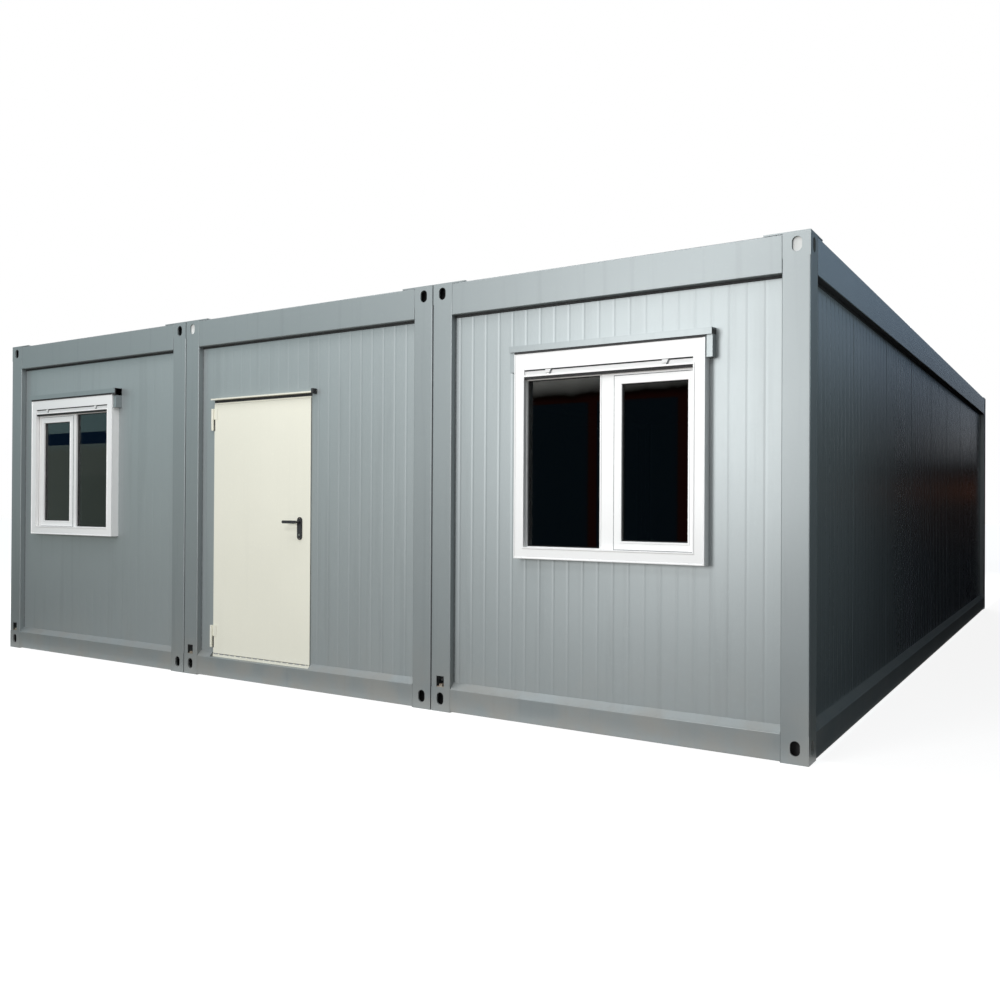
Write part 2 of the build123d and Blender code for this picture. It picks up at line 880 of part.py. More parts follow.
with BuildPart() as door_lock_cylinder:
    through_rod(lock_level, plate_near - lock_projection, plate_far + lock_projection, lock_radius)
finish(door_lock_cylinder, "door_lock_cylinder")

with BuildPart() as door_handle:
    outer = plate_near - lever_projection
    inner = plate_far + lever_projection
    through_rod(lever_level, outer, inner, lever_radius)
    for near in (outer - lever_thickness / 2, inner - lever_thickness / 2):
        with BuildSketch(facing_plane(near + lever_thickness)):
            with Locations((lever_x - lever_reach / 2 + lever_height / 4, lever_level)):
                SlotOverall(lever_reach + lever_height / 2, lever_height)
        extrude(amount=lever_thickness)
finish(door_handle, "door_handle")
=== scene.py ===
"""Looks of a bank of three office container cabins: panel sheets, fittings, finishes and light.

Metres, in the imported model's frame. +X runs along the front from left to right, +Y runs from the
front wall to the back wall, +Z is up, and the ground is at z = 0.
"""

import math

import bmesh
import bpy
from mathutils import Matrix, Vector


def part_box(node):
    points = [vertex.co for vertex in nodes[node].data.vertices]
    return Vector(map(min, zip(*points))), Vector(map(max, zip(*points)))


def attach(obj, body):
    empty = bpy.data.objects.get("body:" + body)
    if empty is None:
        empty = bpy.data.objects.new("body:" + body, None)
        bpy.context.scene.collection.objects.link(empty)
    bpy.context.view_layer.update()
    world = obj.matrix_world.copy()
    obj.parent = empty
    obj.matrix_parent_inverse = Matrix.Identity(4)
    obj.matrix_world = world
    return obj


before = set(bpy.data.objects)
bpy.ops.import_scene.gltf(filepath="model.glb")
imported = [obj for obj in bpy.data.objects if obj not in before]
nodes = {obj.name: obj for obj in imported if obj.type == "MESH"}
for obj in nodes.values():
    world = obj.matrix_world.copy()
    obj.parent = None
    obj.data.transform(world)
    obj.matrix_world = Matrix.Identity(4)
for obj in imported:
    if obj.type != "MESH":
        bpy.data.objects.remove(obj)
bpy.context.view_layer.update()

MM = 0.001

module_names = ("left", "middle", "right")
window_sides = ("left", "right")

# Sizes of the cabin that its nodes' boxes don't give
post_leg = 150 * MM
window_height = {"left": 1213 * MM, "right": 1270 * MM}
surround_width = 70 * MM
wall_hole_margin = 40 * MM

# Profiled sheet of the sandwich panels
groove_spacing = 100 * MM
groove_first = 88 * MM
groove_half_width = 12 * MM
groove_depth = 0.75 * MM
sheet_proud = 2.0 * MM
sheet_let_in = 2 * MM
side_panel_width = 1102 * MM
joint_half_width = 7 * MM
joint_depth = 1.9 * MM


# ---- building node materials


class Reading:
    """A value that varies over a surface. Sums on it add Math nodes to its finish."""

    def __init__(self, finish, socket):
        self.finish = finish
        self.socket = socket

    def _maths(self, operation, first, second):
        return self.finish.node("ShaderNodeMath", {"operation": operation}, {0: first, 1: second})

    def __add__(self, other):
        return self._maths("ADD", self, other)

    def __mul__(self, other):
        return self._maths("MULTIPLY", self, other)

    def __sub__(self, other):
        return self._maths("SUBTRACT", self, other)

    def __rsub__(self, other):
        return self._maths("SUBTRACT", other, self)

    def __truediv__(self, other):
        return self._maths("DIVIDE", self, other)

    __radd__ = __add__
    __rmul__ = __mul__


class Finish:
    """A node tree under construction, for a material or for the world."""

    def __init__(self, tree):
        self.tree = tree
        tree.nodes.clear()
        self._place = None

    def node(self, kind, settings=None, inputs=None, output=0):
        """Adds a node, with its settings first and then its sockets' values or links."""
        made = self.tree.nodes.new(kind)
        for setting, value in (settings or {}).items():
            if setting == "stops":
                self._set_stops(made.color_ramp, value)
            else:
                setattr(made, setting, value)
        for socket, value in (inputs or {}).items():
            if isinstance(value, Reading):
                self.tree.links.new(value.socket, made.inputs[socket])
            else:
                made.inputs[socket].default_value = value
        return Reading(self, made.outputs[output]) if made.outputs else made

    def _set_stops(self, ramp, stops):
        while len(ramp.elements) < len(stops):
            ramp.elements.new(1.0)
        for element, (position, colour) in zip(ramp.elements, stops):
            element.position = position
            element.color = colour

    def place(self):
        """The point on the surface, in metres in the piece's own frame."""
        if self._place is None:
            self._place = self.node("ShaderNodeTexCoord", output="Object")
        return self._place

    def along(self, axis):
        """One coordinate of that point."""
        return self.node("ShaderNodeSeparateXYZ", inputs={0: self.place()}, output=axis)

    def mottle(self, scale, detail, stretch=(1, 1, 1)):
        """Soft cloudy noise from 0 to 1, finer with scale, drawn out along an axis by stretch."""
        spread = self.node(
            "ShaderNodeVectorMath", {"operation": "MULTIPLY"}, {0: self.place(), 1: stretch}
        )
        inputs = {"Vector": spread, "Scale": scale, "Detail": detail}
        return self.node("ShaderNodeTexNoise", inputs=inputs)

    def between(self, value, low, high):
        """Rises smoothly from 0 at low to 1 at high."""
        return self.node(
            "ShaderNodeMapRange",
            {"interpolation_type": "SMOOTHSTEP"},
            {"Value": value, "From Min": low, "From Max": high},
        )

    def blend(self, mask, first, second):
        """A colour that goes from first to second as the mask goes from 0 to 1."""
        inputs = {0: mask, 6: first, 7: second}
        return self.node("ShaderNodeMix", {"data_type": "RGBA"}, inputs, output=2)

    def relief(self, height, depth, under=None):
        """A bump of that depth in metres, on top of another one."""
        inputs = {"Height": height, "Distance": depth, "Strength": 1.0}
        if under is not None:
            inputs["Normal"] = under
        return self.node("ShaderNodeBump", inputs=inputs)


def material_from(name, shader_of):
    """A material with the shader that shader_of builds on its finish."""
    material = bpy.data.materials.new(name)
    material.use_nodes = True
    finish = Finish(material.node_tree)
    finish.node("ShaderNodeOutputMaterial", inputs={"Surface": shader_of(finish)})
    return material


def coating(sockets_of):
    """Turns a recipe for a Principled shader's sockets into a maker of named materials."""

    def make(name, *values, **named_values):
        def shader_of(finish):
            inputs = sockets_of(finish, *values, **named_values)
            return finish.node("ShaderNodeBsdfPrincipled", inputs=inputs)

        return material_from(name, shader_of)

    return make


def tone(red, green, blue):
    """A colour in linear light."""
    return (red, green, blue, 1.0)


def shade_of(colour, factor):
    """The same colour, lighter or darker."""
    return (*(channel * factor for channel in colour[:3]), 1.0)


# ---- finishes

ground_dust = tone(0.30, 0.27, 0.23)


@coating
def sprayed_steel(
    finish, colour, roughness=0.4, dust=0.3, wave=0.0012, flake=0.4, streak=0.5, peel_depth=0.00004
):
    """Cloudy tone, dust near the ground, orange peel and waves.

    flake is the paint's share of aluminium flake, and streak how far rain marks it.
    """
    clouds = finish.mottle(1.3, detail=4)
    fine = finish.mottle(38, detail=4)
    streaks = finish.mottle(1.0, detail=5, stretch=(16, 16, 0.7))
    height = finish.along("Z")
    washed = finish.between(streaks, 0.52, 0.72) * streak
    toned = finish.blend(clouds, shade_of(colour, 0.95), shade_of(colour, 1.05))
    toned = finish.blend(washed, toned, shade_of(colour, 0.88))
    toned = finish.blend(finish.between(fine, 0.55, 0.8) * 0.35, toned, shade_of(colour, 1.08))
    low = 1 - finish.between(height, 0.02, 0.75)
    dusty = low * low * finish.between(finish.mottle(5, detail=6), 0.3, 0.7) * dust
    peel = finish.relief(finish.mottle(260, detail=2), peel_depth)
    return {
        "Base Color": finish.blend(dusty, toned, ground_dust),
        "Roughness": roughness + finish.between(fine, 0.3, 0.8) * roughness * 0.04 + dusty * 0.3,
        "Normal": finish.relief(finish.mottle(2.2, detail=1), wave, under=peel),
        "Metallic": flake,
    }


@coating
def galvanised(finish, colour):
    """Zinc spangle with dull white bloom."""
    cells = {"Vector": finish.place(), "Scale": 55.0}
    spangle = finish.node("ShaderNodeTexVoronoi", inputs=cells, output="Color")
    flakes = finish.node("ShaderNodeSeparateColor", inputs={0: spangle})
    bloom = finish.between(finish.mottle(3.5, detail=6), 0.45, 0.75)
    toned = finish.blend(flakes, shade_of(colour, 0.86), shade_of(colour, 1.12))
    return {
        "Base Color": finish.blend(bloom * 0.45, toned, tone(0.55, 0.56, 0.56)),
        "Metallic": 0.75 - bloom * 0.5,
        "Roughness": 0.38 + flakes * 0.12 + bloom * 0.25,
        "Normal": finish.relief(finish.mottle(1.8, detail=2), 0.002),
    }


@coating
def moulded_plastic(finish, colour, roughness=0.30, grime=0.10):
    """White window profile: near-even, with faint specks of grime in patches."""
    clouds = finish.mottle(2.5, detail=4)
    specks = finish.between(finish.mottle(60, detail=5), 0.62, 0.78)
    toned = finish.blend(clouds, shade_of(colour, 0.985), shade_of(colour, 1.01))
    soiled = specks * finish.between(finish.mottle(4, detail=5), 0.45, 0.7) * grime
    return {
        "Base Color": finish.blend(soiled, toned, tone(0.45, 0.42, 0.36)),
        "Roughness": roughness + clouds * 0.08 + soiled * 0.4,
        "Normal": finish.relief(finish.mottle(180, detail=2), 0.00005),
        "Coat Weight": 0.15,
        "Coat Roughness": 0.12,
    }


@coating
def black_rubber(finish, colour, roughness=0.7):
    bloom = finish.between(finish.mottle(45, detail=5), 0.4, 0.8)
    return {
        "Base Color": finish.blend(bloom, colour, shade_of(colour, 1.6)),
        "Roughness": roughness - bloom * 0.1,
        "Normal": finish.relief(finish.mottle(400, detail=3), 0.00001),
    }


@coating
def handle_nylon(finish):
    """Black nylon of the lever and its plates, a little lighter and rougher in random worn patches.
    """
    clouds = finish.mottle(30, detail=4)
    worn = tone(0.024, 0.024, 0.026)
    return {
        "Base Color": finish.blend(clouds, tone(0.010, 0.010, 0.011), worn),
        "Roughness": 0.36 + clouds * 0.22,
        "Normal": finish.relief(finish.mottle(900, detail=2), 0.00006),
    }


@coating
def bare_metal(finish, colour, roughness=0.32, rust=0.0):
    brushed = finish.mottle(1.0, detail=3, stretch=(30, 900, 900))
    spots = finish.between(finish.mottle(70, detail=6), 0.50, 0.66) * rust
    toned = finish.blend(brushed, shade_of(colour, 0.85), shade_of(colour, 1.1))
    return {
        "Base Color": finish.blend(spots, toned, tone(0.16, 0.075, 0.035)),
        "Metallic": 1.0 - spots,
        "Roughness": roughness + brushed * 0.15 + spots * 0.4,
        "Normal": finish.relief(brushed, 0.00003),
    }


@coating
def floor_covering(finish):
    """Flecked vinyl on the deck."""
    flecks = finish.between(finish.mottle(150, detail=4), 0.52, 0.66)
    clouds = finish.mottle(2.0, detail=4)
    toned = finish.blend(clouds, tone(0.17, 0.15, 0.12), tone(0.22, 0.19, 0.155))
    return {
        "Base Color": finish.blend(flecks * 0.6, toned, tone(0.34, 0.31, 0.27)),
        "Roughness": 0.42 + clouds * 0.2,
        "Normal": finish.relief(finish.mottle(220, detail=2), 0.00008),
    }


@coating
def window_glass(finish):
    """Insulating glass, tinted dark as painted shade for the dim room behind it, under a faint,
    patchy film of dust.
    """
    film = finish.between(finish.mottle(9, detail=6), 0.45, 0.8)
    return {
        "Base Color": finish.blend(film * 0.3, tone(0.13, 0.155, 0.16), tone(0.19, 0.20, 0.19)),
        "Roughness": 0.0,
        "Transmission Weight": 1.0,
        "IOR": 1.5,
    }


panel_grey = tone(0.332, 0.364, 0.369)
frame_grey = tone(0.268, 0.296, 0.301)
window_white = tone(0.92, 0.91, 0.895)
door_cream = tone(0.835, 0.812, 0.695)
lining_white = tone(0.70, 0.70, 0.68)

panel_coat = sprayed_steel("panel_coat", panel_grey, dust=0.22, wave=0.0006, peel_depth=0.00001)
side_coat = sprayed_steel(
    "side_panel_coat", panel_grey, roughness=0.23, dust=0.06, wave=0.0007, peel_depth=0.000002
)
lining_coat = sprayed_steel("lining_coat", lining_white, roughness=0.45, dust=0.05, flake=0)
frame_paint = sprayed_steel("frame_paint", frame_grey, dust=0.35)
rail_paint = sprayed_steel("rail_paint", shade_of(frame_grey, 0.98), dust=0.45)
# Long roof rails: glossier paint, lighter than the frame paint as a painted highlight
glossy_rail_paint = sprayed_steel(
    "glossy_rail_paint", shade_of(frame_grey, 1.3), roughness=0.26, flake=0.6, peel_depth=0.00001
)
# Long base rails: paint darker than the frame paint as painted shade
side_rail_paint = sprayed_steel(
    "side_rail_paint", shade_of(frame_grey, 0.45), roughness=0.9, dust=0.10, flake=0
)
cap_paint = sprayed_steel("folded_cap_paint", shade_of(frame_grey, 1.05), roughness=0.35)
cream_paint = sprayed_steel(
    "cream_door_paint", door_cream, dust=0.04, wave=0.0008, flake=0, streak=0.12
)
cream_frame = sprayed_steel("cream_frame_paint", shade_of(door_cream, 0.96), dust=0.15, flake=0)
roof_zinc = galvanised("roof_zinc", tone(0.42, 0.44, 0.45))
floor_zinc = galvanised("underfloor_zinc", tone(0.30, 0.31, 0.31))
window_plastic = moulded_plastic("window_plastic", window_white)
shutter_plastic = moulded_plastic("shutter_plastic", shade_of(window_white, 0.98))
shutter_bar_grey = moulded_plastic("shutter_bar_grey", shade_of(window_white, 0.82), roughness=0.38)
seal_rubber = black_rubber("joint_rubber", tone(0.035, 0.037, 0.040))
gasket_rubber = black_rubber("gasket_rubber", tone(0.012, 0.012, 0.013))
edge_seal = black_rubber("panel_edge_mastic", tone(0.10, 0.11, 0.115))
sash_rubber = black_rubber("sash_rubber", tone(0.26, 0.265, 0.27), roughness=0.6)
handle_black = handle_nylon("handle_nylon")
bolt_steel = bare_metal("bolt_steel", tone(0.42, 0.38, 0.32), roughness=0.42, rust=0.8)
lock_nickel = bare_metal("lock_nickel", tone(0.30, 0.29, 0.27), roughness=0.30)
pane_glass = window_glass("pane_glass")
vinyl = floor_covering("deck_vinyl")

nodes_of_finish = (
    (
        frame_paint,
        "corner_castings_bottom", "corner_castings_top", "corner_posts", "roof_rails_ends",
    ),
    (bolt_steel, "post_foot_bolts"),
    (rail_paint, "base_rails_ends"),
    (side_rail_paint, "base_rails_sides"),
    (glossy_rail_paint, "roof_rails_sides"),
    (roof_zinc, "roof_sheets", "roof_joint_caps"),
    (lining_coat, "ceilings", "ceiling_joint_covers"),
    (vinyl, "floor_decks", "floor_joint_covers"),
    (floor_zinc, "underfloors"),
    (seal_rubber, "joint_seals"),
    (side_coat, "side_wall_left", "side_wall_right"),
    (
        panel_coat,
        "front_wall_left", "front_wall_right", "front_wall_door_left", "front_wall_over_door",
        "front_wall_door_right", "back_walls",
    ),
    (window_plastic, "window_surrounds", "window_frames", "window_sashes"),
    (pane_glass, "window_panes"),
    (shutter_plastic, "shutter_boxes"),
    (shutter_bar_grey, "shutter_bars"),
    (cap_paint, "window_drip_caps"),
    (
        cream_frame,
        "door_jambs", "door_head", "door_threshold", "door_drip_rail", "door_frame_hinges",
        "door_leaf_hinges",
    ),
    (cream_paint, "door_leaf"),
    (handle_black, "door_escutcheons", "door_handle"),
    (lock_nickel, "door_lock_cylinder"),
)

for material, *node_names in nodes_of_finish:
    for node_name in node_names:
        for material_slot in nodes[node_name].material_slots:
            material_slot.material = material


squarely = 0.9


def finish_side(node_name, facing, material):
    """Gives the faces that look one way a finish of their own."""
    mesh = nodes[node_name].data
    mesh.materials.append(material)
    own_slot = len(mesh.materials) - 1
    for polygon in mesh.polygons:
        if polygon.normal.dot(Vector(facing)) > squarely:
            polygon.material_index = own_slot


# White lining inside the room, and black on the undersides of the long roof rails as painted shade
finish_side("side_wall_left", (1, 0, 0), lining_coat)
finish_side("side_wall_right", (-1, 0, 0), lining_coat)
finish_side("back_walls", (0, -1, 0), lining_coat)
for front_wall in ("left", "right", "door_left", "over_door", "door_right"):
    finish_side(f"front_wall_{front_wall}", (0, 1, 0), lining_coat)
finish_side("roof_rails_sides", (0, 0, -1), gasket_rubber)


# ---- making pieces


def placed(name, data):
    """Puts a new object in the scene."""
    made = bpy.data.objects.new(name, data)
    bpy.context.scene.collection.objects.link(made)
    return made


def new_piece(name, builder, material, slot, body="building", smooth=False):
    """Turns a finished bmesh into a piece that rides on a body and takes the given material; slot
    is not used.
    """
    bmesh.ops.recalc_face_normals(builder, faces=builder.faces)
    mesh = bpy.data.meshes.new(name)
    builder.to_mesh(mesh)
    builder.free()
    for polygon in mesh.polygons:
        polygon.use_smooth = smooth
    mesh.materials.append(material)
    piece = placed(name, mesh)
    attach(piece, body)


def add_ring(builder, loops, closed=True):
    """Joins point loops of equal length into a tube; closed joins the last loop to the first."""
    rows = [[builder.verts.new(point) for point in loop] for loop in loops]
    pairs = list(zip(rows, rows[1:]))
    if closed:
        pairs.append((rows[-1], rows[0]))
    for row, next_row in pairs:
        for number in range(len(row)):
            following = (number + 1) % len(row)
            builder.faces.new((row[number], row[following], next_row[following], next_row[number]))
    if not closed:
        builder.faces.new(rows[0])
        builder.faces.new(rows[-1])


def add_bar(builder, section, start, end):
    """A straight bar: section is a loop of offsets from start, carried to end."""
    travel = Vector(end) - Vector(start)
    near = [Vector(start) + Vector(point) for point in section]
    add_ring(builder, [near, [point + travel for point in near]], closed=False)


def add_mitred_frame(builder, rectangle, section):
    """A frame with mitred corners in the front wall's plane.

    rectangle is left, right, bottom, top, and section is a loop of (inset, y) points.
    """
    left, right, bottom, top = rectangle
    loops = [
        [
            (left + inset, y, bottom + inset),
            (right - inset, y, bottom + inset),
            (right - inset, y, top - inset),
            (left + inset, y, top - inset),
        ]
        for inset, y in section
    ]
    add_ring(builder, loops)


def add_turned(builder, profile, centre, axis, steps=24):
    """A turned shape: profile is (radius, distance along the axis) from one end to the other."""
    axis = Vector(axis).normalized()
    across = axis.orthogonal().normalized()
    beside = axis.cross(across)
    loops = []
    for radius, along in profile:
        ring = []
        for step in range(steps):
            angle = 2 * math.pi * step / steps
            spoke = across * math.cos(angle) + beside * math.sin(angle)
            ring.append(Vector(centre) + axis * along + spoke * radius)
        loops.append(ring)
    add_ring(builder, loops, closed=False)


def add_block(builder, low, high, chamfer=1 * MM):
    """A box between two corners, with its edges planed off."""
    (left, near, bottom), (right, far, top) = low, high
    rim = ((left, near), (right, near), (right, far), (left, far))
    points = [builder.verts.new((*spot, level)) for level in (bottom, top) for spot in rim]
    sides = ((0, 1, 5, 4), (1, 2, 6, 5), (2, 3, 7, 6), (3, 0, 4, 7), (3, 2, 1, 0), (4, 5, 6, 7))
    faces = [builder.faces.new([points[number] for number in side]) for side in sides]
    edges = list({edge for face in faces for edge in face.edges})
    bmesh.ops.bevel(builder, geom=edges, offset=chamfer, segments=1, affect="EDGES")


def block_piece(name, low, high, material, slot, body="building", chamfer=1 * MM):
    """A piece that is one block."""
    builder = bmesh.new()
    add_block(builder, low, high, chamfer)
    new_piece(name, builder, material, slot, body)


weld_ripple = 5 * MM
weld_waist = 0.78


def add_weld(builder, start, end, outward, radius):
    """A rippled bead of weld between two points, narrowed to its waist at every other ripple."""
    start, travel = Vector(start), Vector(end) - Vector(start)
    outward = Vector(outward)
    across = travel.cross(outward).normalized()
    count = max(4, round(travel.length / weld_ripple))
    loops = []
    for number in range(count + 1):
        swell = radius * (1.0 if number % 2 else weld_waist)
        middle = start + travel * (number / count)
        loops.append([middle + across * u + outward * v for u, v in half_round(swell)])
    add_ring(builder, loops, closed=False)


def add_screw(builder, centre, axis, radius):
    """A domed screw head with a hollow for the driver."""
    profile = ((1, 0), (1, 0.12), (0.85, 0.38), (0.5, 0.5), (0.42, 0.5), (0.36, 0.15))
    add_turned(builder, [(radius * r, radius * h) for r, h in profile], centre, axis, steps=16)


def half_round(radius, steps=6):
    """A half circle's (across, outward) points, from one side to the other."""
    angles = [math.pi * step / steps for step in range(steps + 1)]
    return [(radius * math.cos(angle), radius * math.sin(angle)) for angle in angles]


touching = 0.01 * MM


def solid_boxes(node_name):
    """The box of each separate solid in a node, as (lowest, highest), from left to right."""
    builder = bmesh.new()
    builder.from_mesh(nodes[node_name].data)
    bmesh.ops.remove_doubles(builder, verts=builder.verts, dist=touching)
    unseen = set(builder.verts)
    boxes = []
    while unseen:
        reached = [unseen.pop()]
        for vertex in reached:
            for edge in vertex.link_edges:
                other = edge.other_vert(vertex)
                if other in unseen:
                    unseen.remove(other)
                    reached.append(other)
        levels = list(zip(*(vertex.co for vertex in reached)))
        boxes.append((Vector(map(min, levels)), Vector(map(max, levels))))
    builder.free()
    return sorted(boxes, key=lambda box: (box[0].x, box[0].y, box[0].z))


# ---- places of the main parts

post_low, post_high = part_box("corner_posts")
rail_low, rail_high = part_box("base_rails_ends")
roof_rail_low, roof_rail_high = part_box("roof_rails_ends")
front_face, back_face = post_low.y, post_high.y
sill_top = rail_high.z
fascia_bottom = roof_rail_low.z
panel_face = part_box("front_wall_left")[0].y
back_panel_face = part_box("back_walls")[1].y
side_panel_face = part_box("side_wall_right")[1].x

casting_boxes = solid_boxes("corner_castings_bottom")
front_castings = [box for box in casting_boxes if box[0].y < 0]
module_edges = [
    (near[0].x, far[1].x) for near, far in zip(front_castings[0::2], front_castings[1::2])
]
panel_ends = [(left + post_leg, right - post_leg) for left, right in module_edges]
side_wall_ends = (front_face + post_leg, back_face - post_leg)
surround_boxes = dict(zip(window_sides, solid_boxes("window_surrounds")))
leaf_low, leaf_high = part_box("door_leaf")
jamb_low, jamb_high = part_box("door_jambs")

window_outlines = {
    side: (low.x, high.x, low.z, low.z + window_height[side])
    for side, (low, high) in surround_boxes.items()
}


# ---- profiled sheet over the panels


def groove_at(distance):
    """How deep the rolled grooves are at a distance from the module's left edge."""
    offset = (distance - groove_first + groove_spacing / 2) % groove_spacing - groove_spacing / 2
    return groove_depth * max(0.0, 1 - abs(offset) / groove_half_width)


def bend_lines(middles, half_width, start, end):
    """Both edges and the bottom of each groove, where they lie between start and end."""
    lines = [middle + side * half_width for middle in middles for side in (-1, 0, 1)]
    return {line for line in lines if start < line < end}


def groove_lines(start, end, origin):
    """Where the sheet bends between start and end, with both ends."""
    count = int((end - origin) / groove_spacing) + 2
    middles = [origin + groove_first + number * groove_spacing for number in range(-1, count)]
    return {start, end} | bend_lines(middles, groove_half_width, start, end)


def add_rolled_sheet(builder, across_lines, up_lines, is_open, depth_at, place):
    """A closed sheet over a grid of lines: rolled in front by depth_at, flat behind.

    place turns (across, up, outward) into a point, and is_open says which cells are holes.
    """
    columns, rows = len(across_lines) - 1, len(up_lines) - 1
    corners = {}

    def corner(column, row, in_front):
        key = (column, row, in_front)
        if key not in corners:
            across, up = across_lines[column], up_lines[row]
            outward = sheet_proud - depth_at(across) if in_front else -sheet_let_in
            corners[key] = builder.verts.new(place(across, up, outward))
        return corners[key]

    def is_solid(column, row):
        if not (0 <= column < columns and 0 <= row < rows):
            return False
        across = (across_lines[column] + across_lines[column + 1]) / 2
        up = (up_lines[row] + up_lines[row + 1]) / 2
        return not is_open(across, up)

    around = ((0, 0), (1, 0), (1, 1), (0, 1))
    neighbours = ((0, -1), (1, 0), (0, 1), (-1, 0))
    for column in range(columns):
        for row in range(rows):
            if not is_solid(column, row):
                continue
            spots = [(column + right, row + up) for right, up in around]
            for in_front in (True, False):
                builder.faces.new([corner(*spot, in_front) for spot in spots])
            for edge, (right, up) in enumerate(neighbours):
                if not is_solid(column + right, row + up):
                    first, second = spots[edge], spots[(edge + 1) % 4]
                    rim = ((first, True), (second, True), (second, False), (first, False))
                    builder.faces.new([corner(*spot, in_front) for spot, in_front in rim])


def hole_in(rectangle):
    """A test of whether a point is in a rectangular hole; no rectangle is no hole."""
    if rectangle is None:
        return lambda across, up: False
    left, right, bottom, top = rectangle
    return lambda across, up: left < across < right and bottom < up < top


def end_wall_sheet(name, module, face, outward, hole, slot):
    """The profiled sheet of one module's end wall, between its posts, sill and fascia."""
    module_left = module_edges[module][0]
    across_lines = groove_lines(*panel_ends[module], module_left)
    up_lines = {sill_top, fascia_bottom}
    if hole is not None:
        left, right, bottom, top = hole
        across_lines |= {left, right}
        up_lines |= {max(bottom, sill_top), top}
    builder = bmesh.new()
    add_rolled_sheet(
        builder,
        sorted(across_lines),
        sorted(up_lines),
        hole_in(hole),
        lambda across: groove_at(across - module_left),
        lambda across, up, proud: (across, face + outward * proud, up),
    )
    new_piece(name, builder, panel_coat, slot)


def window_hole(side):
    left, right, bottom, top = window_outlines[side]
    margin = wall_hole_margin
    return (left + margin, right - margin, bottom + margin, top - margin)


door_hole = (jamb_low.x, jamb_high.x, 0, jamb_high.z)
front_holes = (window_hole("left"), door_hole, window_hole("right"))
front_slots = ("front_wall_left", "front_wall_over_door", "front_wall_right")
for module, (module_name, hole, slot) in enumerate(zip(module_names, front_holes, front_slots)):
    end_wall_sheet(f"front_sheet_{module_name}", module, panel_face, -1, hole, slot)
    end_wall_sheet(f"back_sheet_{module_name}", module, back_panel_face, 1, None, "back_walls")


def side_groove_at(distance):
    """A side wall's grooves, with a deeper one at each joint between two panels."""
    offset = (distance + side_panel_width / 2) % side_panel_width - side_panel_width / 2
    joint = joint_depth * max(0.0, 1 - abs(offset) / joint_half_width)
    return max(joint, groove_at(distance))


def side_wall_sheet(name, outward, slot):
    """The profiled sheet of a long side, made of full-height panels."""
    start, end = side_wall_ends
    count = int((end - start) / side_panel_width)
    joints = [start + number * side_panel_width for number in range(1, count + 1)]
    lines = groove_lines(start, end, start) | bend_lines(joints, joint_half_width, start, end)
    builder = bmesh.new()
    add_rolled_sheet(
        builder,
        sorted(lines),
        (sill_top, fascia_bottom),
        hole_in(None),
        lambda across: side_groove_at(across - start),
        lambda across, up, proud: (outward * (side_panel_face + proud), across, up),
    )
    new_piece(name, builder, side_coat, slot)


side_wall_sheet("side_sheet_left", -1, "side_wall_left")
side_wall_sheet("side_sheet_right", 1, "side_wall_right")

# ---- mastic round the panels

mastic_width = 7 * MM
mastic_proud = 3 * MM


def panel_mastic(name, outline, face, outward, slot):
    """Fillets of mastic down both edges of a wall's sheet."""
    builder = bmesh.new()
    level = face + outward * sheet_proud
    for edge, inward in zip(outline, (1, -1)):
        section = [(0, 0, 0), (inward * mastic_width, 0, 0), (0, outward * mastic_proud, 0)]
        add_bar(builder, section, (edge, level, sill_top), (edge, level, fascia_bottom))
    new_piece(name, builder, edge_seal, slot)


for outline, module_name, slot in zip(panel_ends, module_names, front_slots):
    panel_mastic(f"front_mastic_{module_name}", outline, panel_face, -1, slot)
    panel_mastic(f"back_mastic_{module_name}", outline, back_panel_face, 1, "back_walls")

# ---- black strips at the walls' heads, painted shade in the slot under the fascia

shade_strip_drop = 15 * MM
shade_strip_rise = 26 * MM
shade_strip_proud = 6 * MM
shade_strip_bottom, shade_strip_top = fascia_bottom - shade_strip_drop, fascia_bottom + shade_strip_rise

for place_name, face, outward in (("front", panel_face, -1), ("back", back_panel_face, 1)):
    shade_strips = bmesh.new()
    near, far = sorted((face, face + outward * shade_strip_proud))
    for start, end in panel_ends:
        add_block(shade_strips, (start, near, shade_strip_bottom), (end, far, shade_strip_top))
    new_piece(f"head_shade_strips_{place_name}", shade_strips, gasket_rubber, "joint_seals")
start, end = side_wall_ends
for place_name, outward in (("left", -1), ("right", 1)):
    near, far = sorted((outward * side_panel_face, outward * (side_panel_face + shade_strip_proud)))
    ends = (near, start, shade_strip_bottom), (far, end, shade_strip_top)
    block_piece(f"head_shade_strip_{place_name}", *ends, gasket_rubber, "joint_seals")

# ---- welds of the frames

welds = bmesh.new()
weld_radius = 2.4 * MM
sill_slope_height = 30 * MM
base_weld_top = sill_top - sill_slope_height
for ends in panel_ends:
    for seam in ends:
        for bottom, top in ((rail_low.z, base_weld_top), (fascia_bottom, roof_rail_high.z)):
            start, end = (seam, front_face, bottom), (seam, front_face, top)
            add_weld(welds, start, end, (0, -1, 0), weld_radius)
new_piece("frame_welds", welds, frame_paint, "corner_posts", smooth=True)

# ---- windows

gasket_width = 5 * MM
gasket_proud = 5.6 * MM
bead_width = 13 * MM
bead_proud = 3 * MM
bead_slope = 4 * MM
let_in = 0.2 * MM
sash_pane_reach = 17 * MM

